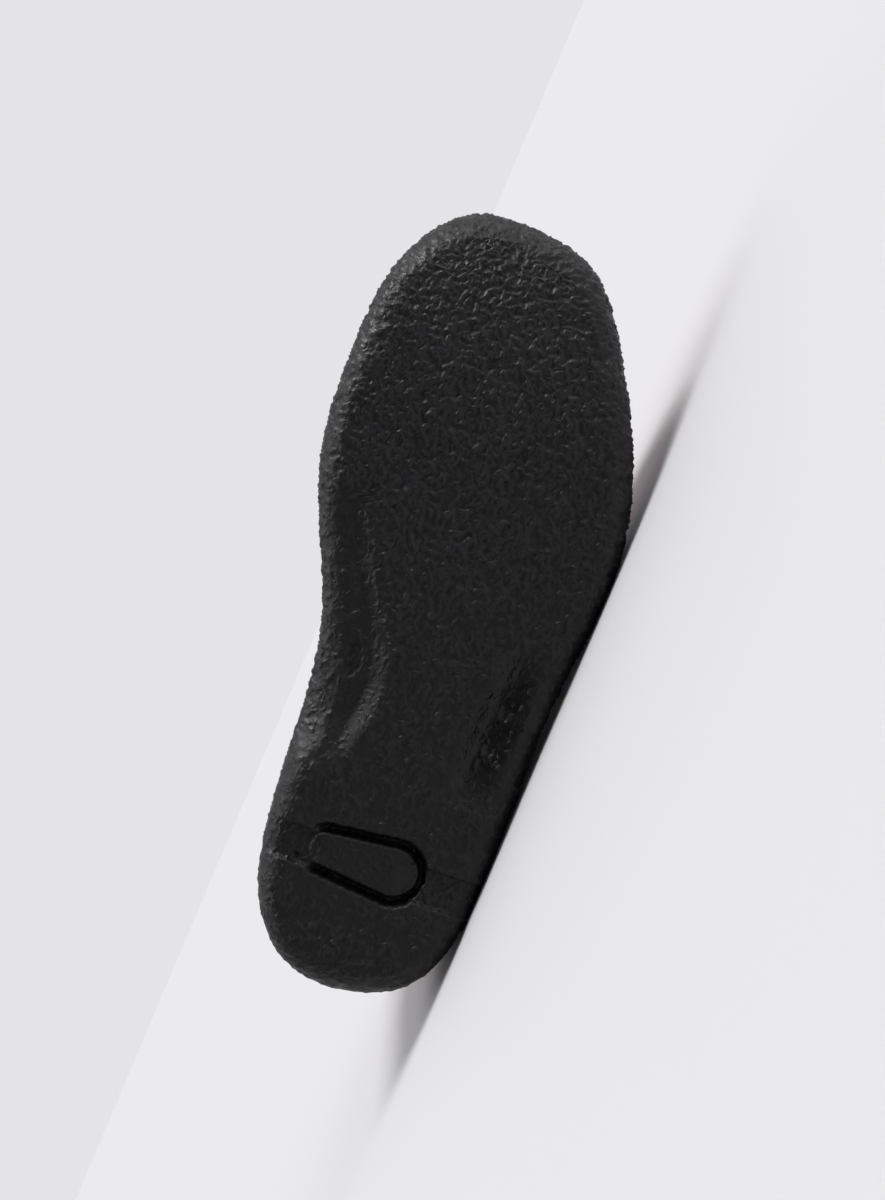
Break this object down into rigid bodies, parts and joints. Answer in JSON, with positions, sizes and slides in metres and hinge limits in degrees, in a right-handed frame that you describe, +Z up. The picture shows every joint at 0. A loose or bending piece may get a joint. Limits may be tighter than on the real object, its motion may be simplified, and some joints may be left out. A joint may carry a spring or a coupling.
{
  "type": "high-top lace-up shoe",
  "caption": "Left high-top lace-up shoe with a red leather upper, padded collar and a one-piece black crepe-textured sole, lying on its outer side.",
  "frame": {"origin": "on the floor under the middle of the shoe's bounding box, as it lies on its outer side", "axes": "+X towards the toe, +Y from the tread towards the collar, +Z up, out of the inner side"},
  "size_m": [0.2538, 0.1496, 0.1065],
  "materials": {
    "sole": "matt moulded crepe skin",
    "upper": "smooth grain leather",
    "tongue": "smooth grain leather",
    "insole": "tan lining leather",
    "lace": "woven cotton",
    "eyelet": "dark enamelled"
  },
  "bodies": {
    "root": {"sole": "sole", "upper": "upper", "tongue": "tongue", "insole": "insole", "lace": "lace", "eyelet_lateral_1": "eyelet", "eyelet_lateral_2": "eyelet", "eyelet_lateral_3": "eyelet", "eyelet_lateral_4": "eyelet", "eyelet_lateral_5": "eyelet", "eyelet_lateral_6": "eyelet", "eyelet_medial_1": "eyelet", "eyelet_medial_2": "eyelet", "eyelet_medial_3": "eyelet", "eyelet_medial_4": "eyelet", "eyelet_medial_5": "eyelet", "eyelet_medial_6": "eyelet"}
  },
  "joints": []
}
